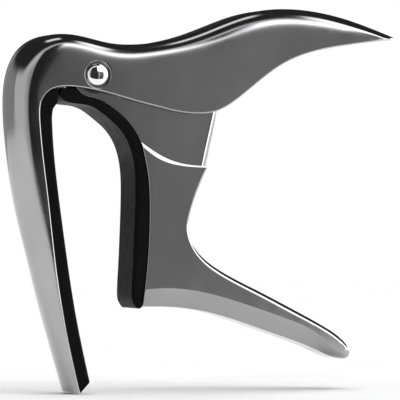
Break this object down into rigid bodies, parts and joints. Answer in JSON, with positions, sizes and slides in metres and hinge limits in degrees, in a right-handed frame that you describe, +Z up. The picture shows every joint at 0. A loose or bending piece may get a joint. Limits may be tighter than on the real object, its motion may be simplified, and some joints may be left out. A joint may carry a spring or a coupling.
{
  "type": "guitar capo",
  "caption": "Spring-loaded clamp capo: a curved rubber-padded fretboard arm with an upper handle, and a pivoting lever with a concave neck pad and a lower handle.",
  "frame": {"origin": "middle of the fretboard pad's contact face, where the capo presses on the strings", "axes": "+X from the fretboard arm towards the two handles, +Z up from the arm's free end towards the pivot, +Y through the depth of the capo, along the pivot pin"},
  "size_m": [0.0959, 0.0136, 0.0889],
  "materials": {
    "dark_plating": "polished",
    "black_rubber": "satin",
    "bright_chrome": "polished",
    "bush_nylon": "satin",
    "spring_steel": "satin"
  },
  "bodies": {
    "clamp_body": {"upper_body": "dark_plating", "fretboard_pad": "black_rubber", "pivot_pin": "bright_chrome", "pin_cap": "bright_chrome", "torsion_spring": "spring_steel"},
    "lever": {"lower_lever": "dark_plating", "neck_pad": "black_rubber", "front_bush": "bush_nylon", "rear_bush": "bush_nylon"}
  },
  "joints": [
    {"name": "lever_pivot", "type": "hinge", "parent": "clamp_body", "child": "lever", "pos_m": [0.0071, 0, 0.041], "axis": [0, -1, 0], "range_deg": [0, 22], "stiffness_Nm_per_rad": 0.7, "springref_deg": -34.38, "deforming": ["torsion_spring"]}
  ]
}
